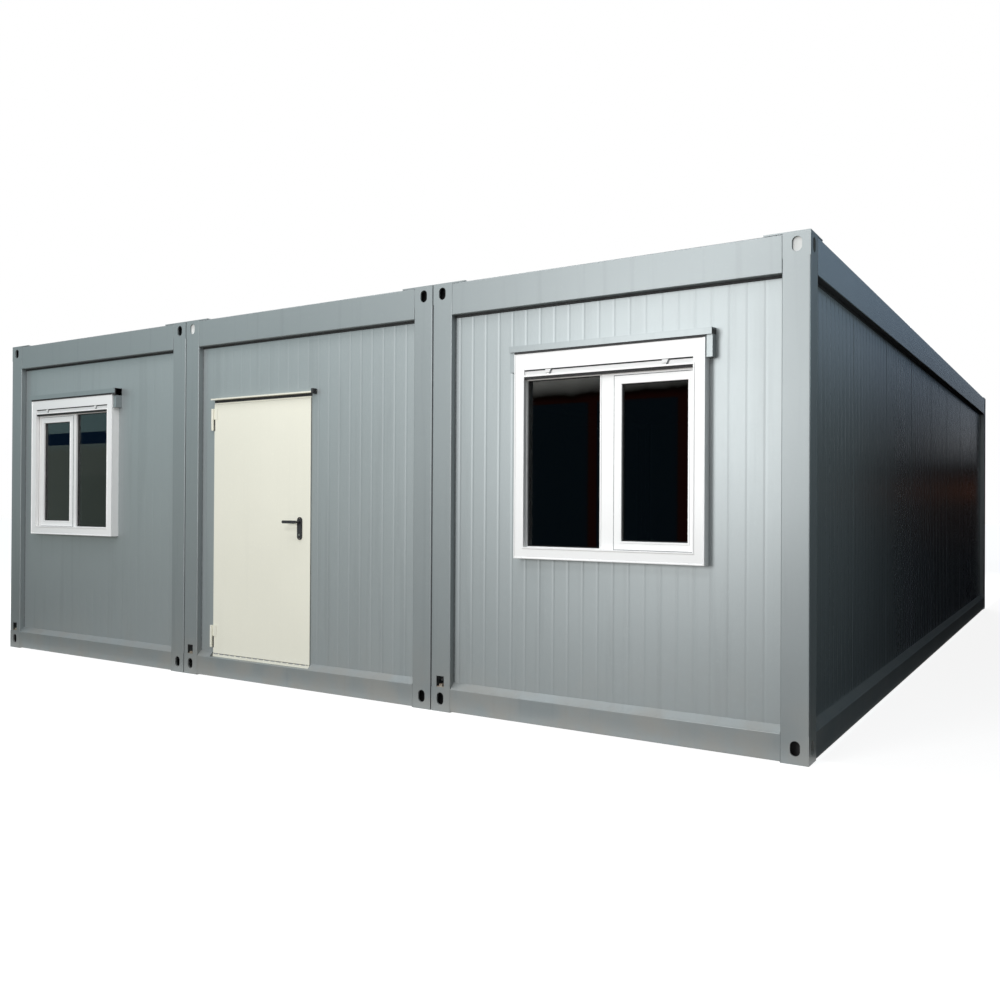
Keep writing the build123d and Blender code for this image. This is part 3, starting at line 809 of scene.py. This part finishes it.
frame_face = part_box("window_frames")[0].y
sash_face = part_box("window_sashes")[0].y
gaskets, beads = bmesh.new(), bmesh.new()
for low, high in solid_boxes("window_panes"):
    light = (low.x, high.x, low.z, high.z)
    glass = low.y
    off_glass = glass - 0.1 * MM
    section = [(0, glass - gasket_proud), (gasket_width, off_glass), (0, off_glass)]
    add_mitred_frame(gaskets, light, section)
    carrier = sash_face if glass < frame_face + sash_pane_reach else frame_face
    add_mitred_frame(
        beads,
        light,
        [
            (0, carrier + let_in),
            (0, carrier - bead_proud + bead_slope / 2),
            (-bead_slope / 2, carrier - bead_proud),
            (-bead_width + bead_slope, carrier - bead_proud),
            (-bead_width, carrier + let_in),
        ],
    )
new_piece("pane_gaskets", gaskets, gasket_rubber, "window_panes")
new_piece("glazing_beads", beads, window_plastic, "window_frames")

sash_line, sash_line_proud = 4 * MM, 1.5 * MM
sash_overlap, sash_edge_proud = 0.5 * MM, 1 * MM
lip_width, lip_proud, lip_edge = 11 * MM, 3.5 * MM, 1 * MM
lip_flat_share = 0.6
lip_let_in = 0.3 * MM
surround_face = surround_boxes["right"][0].y

sash_gaskets = bmesh.new()
for low, high in solid_boxes("window_sashes"):
    section = [
        (-sash_line, frame_face + let_in),
        (-sash_line, frame_face - sash_line_proud),
        (sash_overlap, sash_face - sash_edge_proud),
        (sash_overlap, frame_face + let_in),
    ]
    add_mitred_frame(sash_gaskets, (low.x, high.x, low.z, high.z), section)
new_piece("sash_gaskets", sash_gaskets, sash_rubber, "window_sashes")

lips = bmesh.new()
bar_boxes = dict(zip(window_sides, solid_boxes("shutter_bars")))
for side, outline in window_outlines.items():
    for inset in (0, surround_width - lip_width):
        rectangle = outline
        section = [
            (inset, surround_face + lip_let_in),
            (inset, surround_face - lip_proud + lip_edge),
            (inset + lip_edge, surround_face - lip_proud),
            (inset + lip_width * lip_flat_share, surround_face - lip_proud),
            (inset + lip_width, surround_face + lip_let_in),
        ]
        if inset:
            section = [(2 * inset + lip_width - reach, depth) for reach, depth in reversed(section)]
            rectangle = (*outline[:3], bar_boxes[side][0].z + surround_width)
        add_mitred_frame(lips, rectangle, section)
new_piece("surround_lips", lips, window_plastic, "window_surrounds")

# Shutters: brushes above and below each bottom bar, and the slanting rods of its stops
stop_from_edge = 217 * MM
stop_width = 40 * MM
rod_reach, rod_width, rod_thickness, rod_proud = 20 * MM, 7 * MM, 2.5 * MM, 2 * MM
brush_set_back = 4.5 * MM
# Each brush's bottom and top from the bar's edge beside it, and its back from the bar's face
upper_brush, upper_brush_back = (-5 * MM, 3 * MM), 12 * MM
lower_brush, lower_brush_back = (-14 * MM, 1 * MM), 16 * MM
cap_overhang = 38 * MM
# Black strips under the drip caps' lips are painted shade
cap_shade_strip_proud, cap_shade_strip_let_in = 4.5 * MM, 1 * MM
cap_shade_strip_drop, cap_shade_strip_rise = 9 * MM, 5 * MM
cap_end_shade_proud = 5.8 * MM
end_shade_chamfer = 3 * MM
brushes, stop_rods, cap_shade_strips, cap_end_shades = (bmesh.new() for _ in range(4))
# Width of each black end block, painted shade at the cap's right end, and its bottom and top
# over the surround
cap_end_shade_size = {"left": (30 * MM, -18 * MM, 46 * MM), "right": (16 * MM, 6 * MM, 40 * MM)}
for side, (low, high) in bar_boxes.items():
    window_left, window_right, _, window_top = window_outlines[side]
    brush_face, rod_face = low.y + brush_set_back, low.y - rod_proud
    stops = [
        (window_left + stop_from_edge, window_left + stop_from_edge + stop_width),
        (window_right - stop_from_edge - stop_width, window_right - stop_from_edge),
    ]
    ends = [low.x, *stops[0], *stops[1], high.x]
    for start, end in zip(ends[::2], ends[1::2]):
        bottom, top = (high.z + reach for reach in upper_brush)
        near, far = (start, brush_face, bottom), (end, low.y + upper_brush_back, top)
        add_block(brushes, near, far, chamfer=0.6 * MM)
    bottom, top = (low.z + reach for reach in lower_brush)
    near, far = (low.x, brush_face, bottom), (high.x, low.y + lower_brush_back, top)
    add_block(brushes, near, far, chamfer=0.6 * MM)
    for _, stop_end in stops:
        foot, head = (stop_end - rod_reach, rod_face, low.z), (stop_end, rod_face, high.z)
        flat = ((0, 0), (rod_width, 0), (rod_width, rod_thickness), (0, rod_thickness))
        add_bar(stop_rods, [(*spot, 0) for spot in flat], foot, head)
    # Painted shade: a black strip under the drip cap's lip
    near = (window_left, surround_face - cap_shade_strip_proud, window_top - cap_shade_strip_drop)
    far = (window_right, surround_face + cap_shade_strip_let_in, window_top + cap_shade_strip_rise)
    add_block(cap_shade_strips, near, far)
    # Black block at the cap's right end: painted shade
    cap_right = window_right + cap_overhang
    width, bottom, top = cap_end_shade_size[side]
    add_block(
        cap_end_shades,
        (cap_right - width, surround_face - cap_end_shade_proud, window_top + bottom),
        (cap_right, panel_face, window_top + top),
        end_shade_chamfer,
    )
new_piece("shutter_brushes", brushes, gasket_rubber, "shutter_bars")
new_piece("shutter_stop_rods", stop_rods, edge_seal, "shutter_bars")
new_piece("drip_cap_shade_strips", cap_shade_strips, gasket_rubber, "window_drip_caps")
new_piece("drip_cap_end_shade_blocks", cap_end_shades, handle_black, "window_drip_caps")

# ---- inside the castings

# Black sheets stand behind the casting holes as painted shade, so no light shows through them.
# At the front, the middle module's top left hole and the right module's top right one have a pale
# plug instead, painted light seen through the hole.
casting_wall = 12 * MM
shade_sheet_thickness = 3 * MM
shade_sheet_depth = 45 * MM
close = 1 * MM
shade_sheets, lit_plugs = bmesh.new(), bmesh.new()
for node_name in ("corner_castings_bottom", "corner_castings_top"):
    for low, high in solid_boxes(node_name):
        inner_low, inner_high = low + Vector([casting_wall] * 3), high - Vector([casting_wall] * 3)
        behind = inner_low.y + shade_sheet_depth if low.y < 0 else inner_high.y - shade_sheet_depth
        lit_plugged = node_name == "corner_castings_top" and low.y < 0 and (
            abs(low.x - module_edges[1][0]) < close or abs(high.x - module_edges[2][1]) < close
        )
        if lit_plugged:
            behind = inner_low.y
        add_block(
            lit_plugs if lit_plugged else shade_sheets,
            (inner_low.x, behind, inner_low.z),
            (inner_high.x, behind + shade_sheet_thickness, inner_high.z),
        )
        if low.x < post_low.x + close:
            add_block(shade_sheets, inner_low, (inner_low.x + shade_sheet_thickness, *inner_high.yz))
        elif high.x > post_high.x - close:
            add_block(shade_sheets, (inner_high.x - shade_sheet_thickness, *inner_low.yz), inner_high)
new_piece("casting_shade_sheets", shade_sheets, gasket_rubber, "corner_castings_bottom")
new_piece("casting_lit_plugs", lit_plugs, lining_coat, "corner_castings_top")

# ---- door

door_overlap = 55 * MM
door_lock_gap = 10 * MM
jamb_width = 43 * MM
leaf_skin = 4 * MM
trim_gap, trim_height, trim_proud = 1.5 * MM, 13 * MM, 9 * MM
door_shade_proud, door_shade_past = 6 * MM, 4 * MM
end_shade_width, end_shade_proud, end_shade_gap = 22 * MM, 3 * MM, 1 * MM
end_shade_drop, end_shade_rise = 8 * MM, 14 * MM
tuft_length, tuft_pitch, first_tuft = 42 * MM, 62 * MM, 12 * MM
tuft_proud, tuft_depth, tuft_drop, tuft_rise = 1 * MM, 4 * MM, 3 * MM, 2.5 * MM
screw_radius, screw_from_end, screw_sunk = 3.6 * MM, 9 * MM, 0.1 * MM
key_half_width, key_half_height, key_proud, key_let_in = 0.8 * MM, 4 * MM, 0.3 * MM, 1 * MM
latch_inset, bolt_inset, bolt_throw = 8 * MM, 5 * MM, 7 * MM
lock_plate_proud, lock_plate_let_in = 1.5 * MM, 1 * MM
gap_shade_edge, gap_shade_width, gap_shade_past = 0.3 * MM, 8 * MM, 4 * MM
gap_shade_proud, gap_shade_let_in = 0.8 * MM, 2 * MM
latch_plate_levels, latch_levels, strike_levels = (1.04, 1.28), (1.20, 1.235), (1.08, 1.29)
doorway_left, doorway_right = leaf_low.x + door_overlap, leaf_high.x - door_overlap
doorway_top = leaf_high.z - door_overlap
rail_box_low, rail_box_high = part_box("door_drip_rail")
threshold_low, threshold_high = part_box("door_threshold")
plate_low, plate_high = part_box("door_escutcheons")
lock_low, lock_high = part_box("door_lock_cylinder")
plate_middle = (plate_low.x + plate_high.x) / 2

trim_bottom, trim_top = leaf_high.z + trim_gap, leaf_high.z + trim_height
block_piece(
    "door_head_trim",
    (leaf_low.x, panel_face - trim_proud, trim_bottom),
    (leaf_high.x, panel_face, trim_top),
    cream_paint,
    "door_head",
)
# Black strip between the head trim and the drip rail: painted shade under the rail
block_piece(
    "door_top_shade_strip",
    (leaf_low.x - door_shade_past, panel_face - door_shade_proud, trim_top),
    (leaf_high.x + door_shade_past, panel_face, rail_box_low.z),
    gasket_rubber,
    "door_drip_rail",
)
# Black block at the drip rail's right end: painted shade
block_piece(
    "drip_rail_end_shade_block",
    (
        rail_box_high.x - end_shade_width,
        rail_box_low.y - end_shade_proud,
        rail_box_low.z - end_shade_drop,
    ),
    (rail_box_high.x, panel_face - end_shade_gap, rail_box_high.z + end_shade_rise),
    handle_black,
    "door_drip_rail",
    chamfer=end_shade_chamfer,
)

weatherstrip = bmesh.new()
strip_inset = -(jamb_width / 2)
half_strip = [(6 * MM, -0.3 * MM), (5 * MM, 4.5 * MM), (2 * MM, 6.2 * MM)]
strip_section = [(strip_inset - across, panel_face - proud) for across, proud in half_strip]
strip_section += [(strip_inset + across, panel_face - proud) for across, proud in half_strip[::-1]]
strip_outline = (doorway_left, doorway_right, threshold_high.z + strip_inset, doorway_top)
add_mitred_frame(weatherstrip, strip_outline, strip_section)
new_piece("door_weatherstrip", weatherstrip, gasket_rubber, "door_jambs")

tufts = bmesh.new()
for number in range(int((leaf_high.x - leaf_low.x) / tuft_pitch)):
    start = leaf_low.x + first_tuft + number * tuft_pitch
    add_block(
        tufts,
        (start, threshold_low.y - tuft_proud, threshold_high.z - tuft_drop),
        (start + tuft_length, threshold_low.y + tuft_depth, threshold_high.z + tuft_rise),
        chamfer=0.8 * MM,
    )
new_piece("threshold_brush", tufts, sash_rubber, "door_threshold")

screws = bmesh.new()
for level in (plate_high.z - screw_from_end, plate_low.z + screw_from_end):
    add_screw(screws, (plate_middle, plate_low.y + screw_sunk, level), (0, -1, 0), screw_radius)
new_piece("escutcheon_screws", screws, bolt_steel, "door_escutcheons", body="door")

lock_level = (lock_low.z + lock_high.z) / 2
block_piece(
    "key_slot",
    (plate_middle - key_half_width, lock_low.y - key_proud, lock_level - key_half_height),
    (plate_middle + key_half_width, lock_low.y + key_let_in, lock_level + key_half_height),
    gasket_rubber,
    "door_lock_cylinder",
    body="door",
    chamfer=0.2 * MM,
)

latch = bmesh.new()
core_edge = doorway_right - door_lock_gap
latch_near, latch_far = leaf_low.y + leaf_skin + latch_inset, leaf_high.y - latch_inset
add_block(
    latch,
    (core_edge - lock_plate_let_in, latch_near, latch_plate_levels[0]),
    (core_edge + lock_plate_proud, latch_far, latch_plate_levels[1]),
)
add_block(
    latch,
    (core_edge, latch_near + bolt_inset, latch_levels[0]),
    (core_edge + bolt_throw, latch_far - bolt_inset, latch_levels[1]),
    chamfer=2.5 * MM,
)
new_piece("latch_and_plate", latch, lock_nickel, "door_lock_cylinder", body="door")
block_piece(
    "strike_plate",
    (doorway_right - lock_plate_proud, latch_near, strike_levels[0]),
    (doorway_right + lock_plate_let_in, latch_far, strike_levels[1]),
    lock_nickel,
    "door_jambs",
)

# Black strips on the leaf's edge by the hinges: painted shade in the gap beside each barrel
gap_shades = bmesh.new()
for low, high in solid_boxes("door_frame_hinges"):
    add_block(
        gap_shades,
        (leaf_low.x + gap_shade_edge, leaf_low.y - gap_shade_proud, low.z - gap_shade_past),
        (leaf_low.x + gap_shade_width, leaf_low.y + gap_shade_let_in, high.z + gap_shade_past),
        chamfer=0.4 * MM,
    )
new_piece("hinge_gap_shades", gap_shades, gasket_rubber, "door_leaf_hinges", body="door")

# ---- skirting boards inside

skirting_height, skirting_depth, skirting_chamfer = 60 * MM, 12 * MM, 3 * MM
deck_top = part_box("floor_decks")[1].z
skirting_top = deck_top + skirting_height
room_front, room_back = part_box("front_wall_left")[1].y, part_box("back_walls")[0].y
room_left, room_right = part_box("side_wall_left")[1].x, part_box("side_wall_right")[0].x
skirting = bmesh.new()
for start, end in ((room_left, jamb_low.x), (jamb_high.x, room_right)):
    high = (end, room_front + skirting_depth, skirting_top)
    add_block(skirting, (start, room_front, deck_top), high, skirting_chamfer)
for low, high in (
    ((room_left, room_back - skirting_depth), (room_right, room_back)),
    ((room_left, room_front), (room_left + skirting_depth, room_back)),
    ((room_right - skirting_depth, room_front), (room_right, room_back)),
):
    add_block(skirting, (*low, deck_top), (*high, skirting_top), skirting_chamfer)
new_piece("skirting_boards", skirting, shutter_plastic, "side_wall_left")

# ---- camera

camera = placed("camera", bpy.data.cameras.new("camera"))
bpy.context.scene.camera = camera
camera.data.sensor_width = 36
camera.data.lens = 33.89
camera.data.clip_end = 200
camera.location = (4.9193, -9.555, 1.3552)
camera_yaw, camera_pitch, camera_roll = 0.5649, 0.0046, 0.0055
camera.rotation_mode = "XYZ"
turn = Matrix.Rotation(camera_yaw, 3, "Z") @ Matrix.Rotation(math.pi / 2 + camera_pitch, 3, "X")
camera.rotation_euler = (turn @ Matrix.Rotation(camera_roll, 3, "Z")).to_euler()

# ---- floor, cards and light


def level_corners(left, right, near, far, height):
    return [(left, near, height), (right, near, height), (right, far, height), (left, far, height)]


def stage_sheet(name, corners, material):
    """A flat sheet of the studio, between four corners."""
    mesh = bpy.data.meshes.new(name)
    mesh.from_pydata([Vector(corner) for corner in corners], [], [(0, 1, 2, 3)])
    mesh.materials.append(material)
    material.cycles.emission_sampling = "NONE"
    sheet = placed(name, mesh)
    return sheet


def seen_directly(finish):
    """1 where the eye, a reflection or a pane meets the studio, and 0 for light on the object."""
    rays = ("Is Camera Ray", "Is Glossy Ray", "Is Transmission Ray")
    looks = [finish.node("ShaderNodeLightPath", output=ray) for ray in rays]
    return finish.node("ShaderNodeClamp", inputs={0: looks[0] + looks[1] + looks[2]})


def floor_shader(finish):
    lit = finish.node("ShaderNodeBsdfDiffuse", inputs={"Color": tone(0.20, 0.17, 0.13)})
    pale = finish.node("ShaderNodeBsdfDiffuse", inputs={"Color": tone(0.30, 0.30, 0.30)})
    glow = finish.node("ShaderNodeEmission", inputs={"Color": tone(1, 1, 1), "Strength": 0.90})
    seen = finish.node("ShaderNodeAddShader", inputs={0: pale, 1: glow})
    return finish.node("ShaderNodeMixShader", inputs={0: seen_directly(finish), 1: lit, 2: seen})


def card_shader(finish, stops, low, high):
    """A glow that changes with height, from the first stop at low to the last one at high.

    It shows in reflections and panes, and lights nothing itself.
    """
    clouds = (finish.mottle(1.6, detail=4) - 0.5) * cloud_height
    level = (finish.along("Z") + clouds - low) / (high - low)
    colour = finish.node("ShaderNodeValToRGB", {"stops": stops}, {0: level})
    glow = finish.node("ShaderNodeEmission", inputs={"Color": colour, "Strength": 1.0})
    dark = finish.node("ShaderNodeEmission", inputs={"Color": colour, "Strength": 0.0})
    lights = finish.node("ShaderNodeLightPath", output="Is Diffuse Ray")
    return finish.node("ShaderNodeMixShader", inputs={0: lights, 1: glow, 2: dark})


cloud_height = 0.30
floor_reach = 70
floor_corners = level_corners(-floor_reach, floor_reach, -floor_reach, floor_reach, 0)
stage_sheet("floor", floor_corners, material_from("studio_floor", floor_shader))


def flag(name, corners, stops, shades_fill=False):
    """A card beside the set that only reflections meet, unless it also shades the fill light."""
    low = min(corner[2] for corner in corners)
    high = max(corner[2] for corner in corners) + 1 * MM
    glow = material_from(name, lambda finish: card_shader(finish, stops, low, high))
    card = stage_sheet(name, corners, glow)
    card.visible_camera = False
    is_upright = high > low + 1
    card.visible_shadow = shades_fill and is_upright
    card.visible_diffuse = shades_fill


def upright_flag(name, start, end, bottom, top, stops, shades_fill=False):
    """A flag that stands between two points of the ground."""
    corners = [(*start, bottom), (*end, bottom), (*end, top), (*start, top)]
    flag(name, corners, stops, shades_fill)


def plain(colour):
    """Stops of one colour."""
    return [(0, colour), (1, colour)]


near_black = tone(0.003, 0.003, 0.004)
rust_brown = tone(0.022, 0.010, 0.006)
dusk_blue = tone(0.10, 0.13, 0.165)
sky_blue = tone(0.20, 0.27, 0.36)
brick_glow = tone(0.09, 0.028, 0.010)

# What the right side mirrors: dark ground, a dark house at the far end and a dusk sky
near_stops = [(0, near_black), (0.30, near_black), (0.42, dusk_blue)]
near_stops += [(0.55, shade_of(sky_blue, 1.2))]
far_stops = [(0, near_black), (0.14, rust_brown), (0.25, near_black)]
far_stops += [(0.36, shade_of(dusk_blue, 0.7)), (0.5, sky_blue)]
house_stops = [(0, near_black), (0.17, near_black), (0.22, brick_glow), (0.29, near_black)]
house_stops += [(0.38, tone(0.40, 0.42, 0.45)), (0.6, tone(0.50, 0.58, 0.70))]
flag_height = 12
upright_flag("side_flag", (8, -7), (8, 18), 0, flag_height, near_stops, shades_fill=True)
upright_flag("far_house_flag", (3.7, 17.9), (5.5, 17.9), 0, 8, house_stops)
upright_flag("far_flag", (3.7, 18), (10, 18), 0, flag_height, far_stops, shades_fill=True)
over_floor = 0.01
side_ground = level_corners(3.68, 10, -4.4, 18, over_floor)
flag("side_ground_flag", side_ground, plain(near_black), shades_fill=True)
ground_flags = (
    ("left_ground_flag", -30, -4.5, tone(0.035, 0.03, 0.028)),
    ("front_ground_flag", -4.5, 3.6, tone(0.24, 0.24, 0.23)),
)
for name, left, right, colour in ground_flags:
    flag(name, level_corners(left, right, -4.7, -30, over_floor), plain(colour))

# What the right window's panes mirror: two dark shapes before brown ground under a pale sky
hedge_teal = tone(0.030, 0.060, 0.085)
bark_brown = tone(0.11, 0.028, 0.020)
cloud_grey = tone(1.6, 1.6, 1.5)
hedge_stops = [(0, bark_brown), (0.87, bark_brown), (0.90, rust_brown), (0.97, cloud_grey)]
card_place, shape_place = -12.5, -12.4
upright_flag("hedge_card", (-4.5, card_place), (9, card_place), 0, 3.4, hedge_stops)
for number, (left, right) in enumerate(((-3.6, -1.67), (-1.52, -0.21)), 1):
    ends = (left, shape_place), (right, shape_place)
    upright_flag(f"hedge_shape_{number}", *ends, 0, 2.93, plain(hedge_teal))

# What the left window's panes mirror: a pale wall with a door and a dark fascia
wall_green = tone(0.42, 0.50, 0.44)
wall_pale = tone(0.48, 0.74, 0.76)
wall_stops = [(0, wall_green), (0.42, wall_green), (0.5, wall_pale)]
upright_flag("opposite_wall_card", (-30, card_place), (-4.5, card_place), 0, 6, wall_stops)
for name, left, right, bottom, top, colour in (
    ("opposite_door_card", -14.5, -12.9, 0, 1.95, tone(0.36, 0.44, 0.385)),
    ("opposite_fascia_card", -30, -4.5, 2.66, 2.93, tone(0.02, 0.06, 0.14)),
):
    upright_flag(name, (left, shape_place), (right, shape_place), bottom, top, plain(colour))

fill_blue = tone(0.72, 0.87, 1.0)
fill_strength = 0.39

world = bpy.data.worlds.new("studio")
bpy.context.scene.world = world
world.use_nodes = True
sky = Finish(world.node_tree)
fill = sky.node("ShaderNodeBackground", inputs={"Color": fill_blue, "Strength": fill_strength})
white = sky.node("ShaderNodeBackground", inputs={"Color": tone(1, 1, 1), "Strength": 1.0})
backdrop = sky.node("ShaderNodeMixShader", inputs={0: seen_directly(sky), 1: fill, 2: white})
sky.node("ShaderNodeOutputWorld", inputs={"Surface": backdrop})

# Name, place, target, watts, width and height
softboxes = (
    ("overhead_strip", (0.2, -6.2, 5.4), (0.2, -4.56, 1.0), 86, 5.8, 1.4),
    ("right_strip", (2.1, -9.0, 5.2), (2.1, -4.56, 1.3), 80, 2.4, 1.2),
    ("right_softbox", (2.9, -9.4, 2.2), (2.6, -4.56, 0.9), 11, 2.4, 1.2),
    ("front_softbox", (-0.5, -13.6, 2.6), (1.5, -4.56, 1.4), 390, 3.4, 3.4),
    ("corner_softbox", (6.0, -4.35, 2.6), (3.66, -4.35, 1.8), 18, 0.8, 0.8),
    ("side_softbox", (-9.0, 0.0, 4.6), (-3.66, 0.0, 1.4), 300, 7.0, 2.4),
    ("back_softbox", (-0.2, 10.4, 4.6), (-0.2, 4.56, 1.4), 300, 6.6, 2.4),
)
for name, location, target, power, width, height in softboxes:
    tint = (0.78, 0.94, 1.0) if name == "corner_softbox" else (1, 1, 1)
    light = bpy.data.lights.new(name, "AREA")
    light.shape, light.size, light.size_y = "RECTANGLE", width, height
    light.energy, light.color = power, tint
    held = placed(name, light)
    held.location = location
    held.rotation_euler = (Vector(target) - Vector(location)).to_track_quat("-Z", "Y").to_euler()
    held.visible_camera = False

bpy.context.scene.view_settings.view_transform = "Standard"
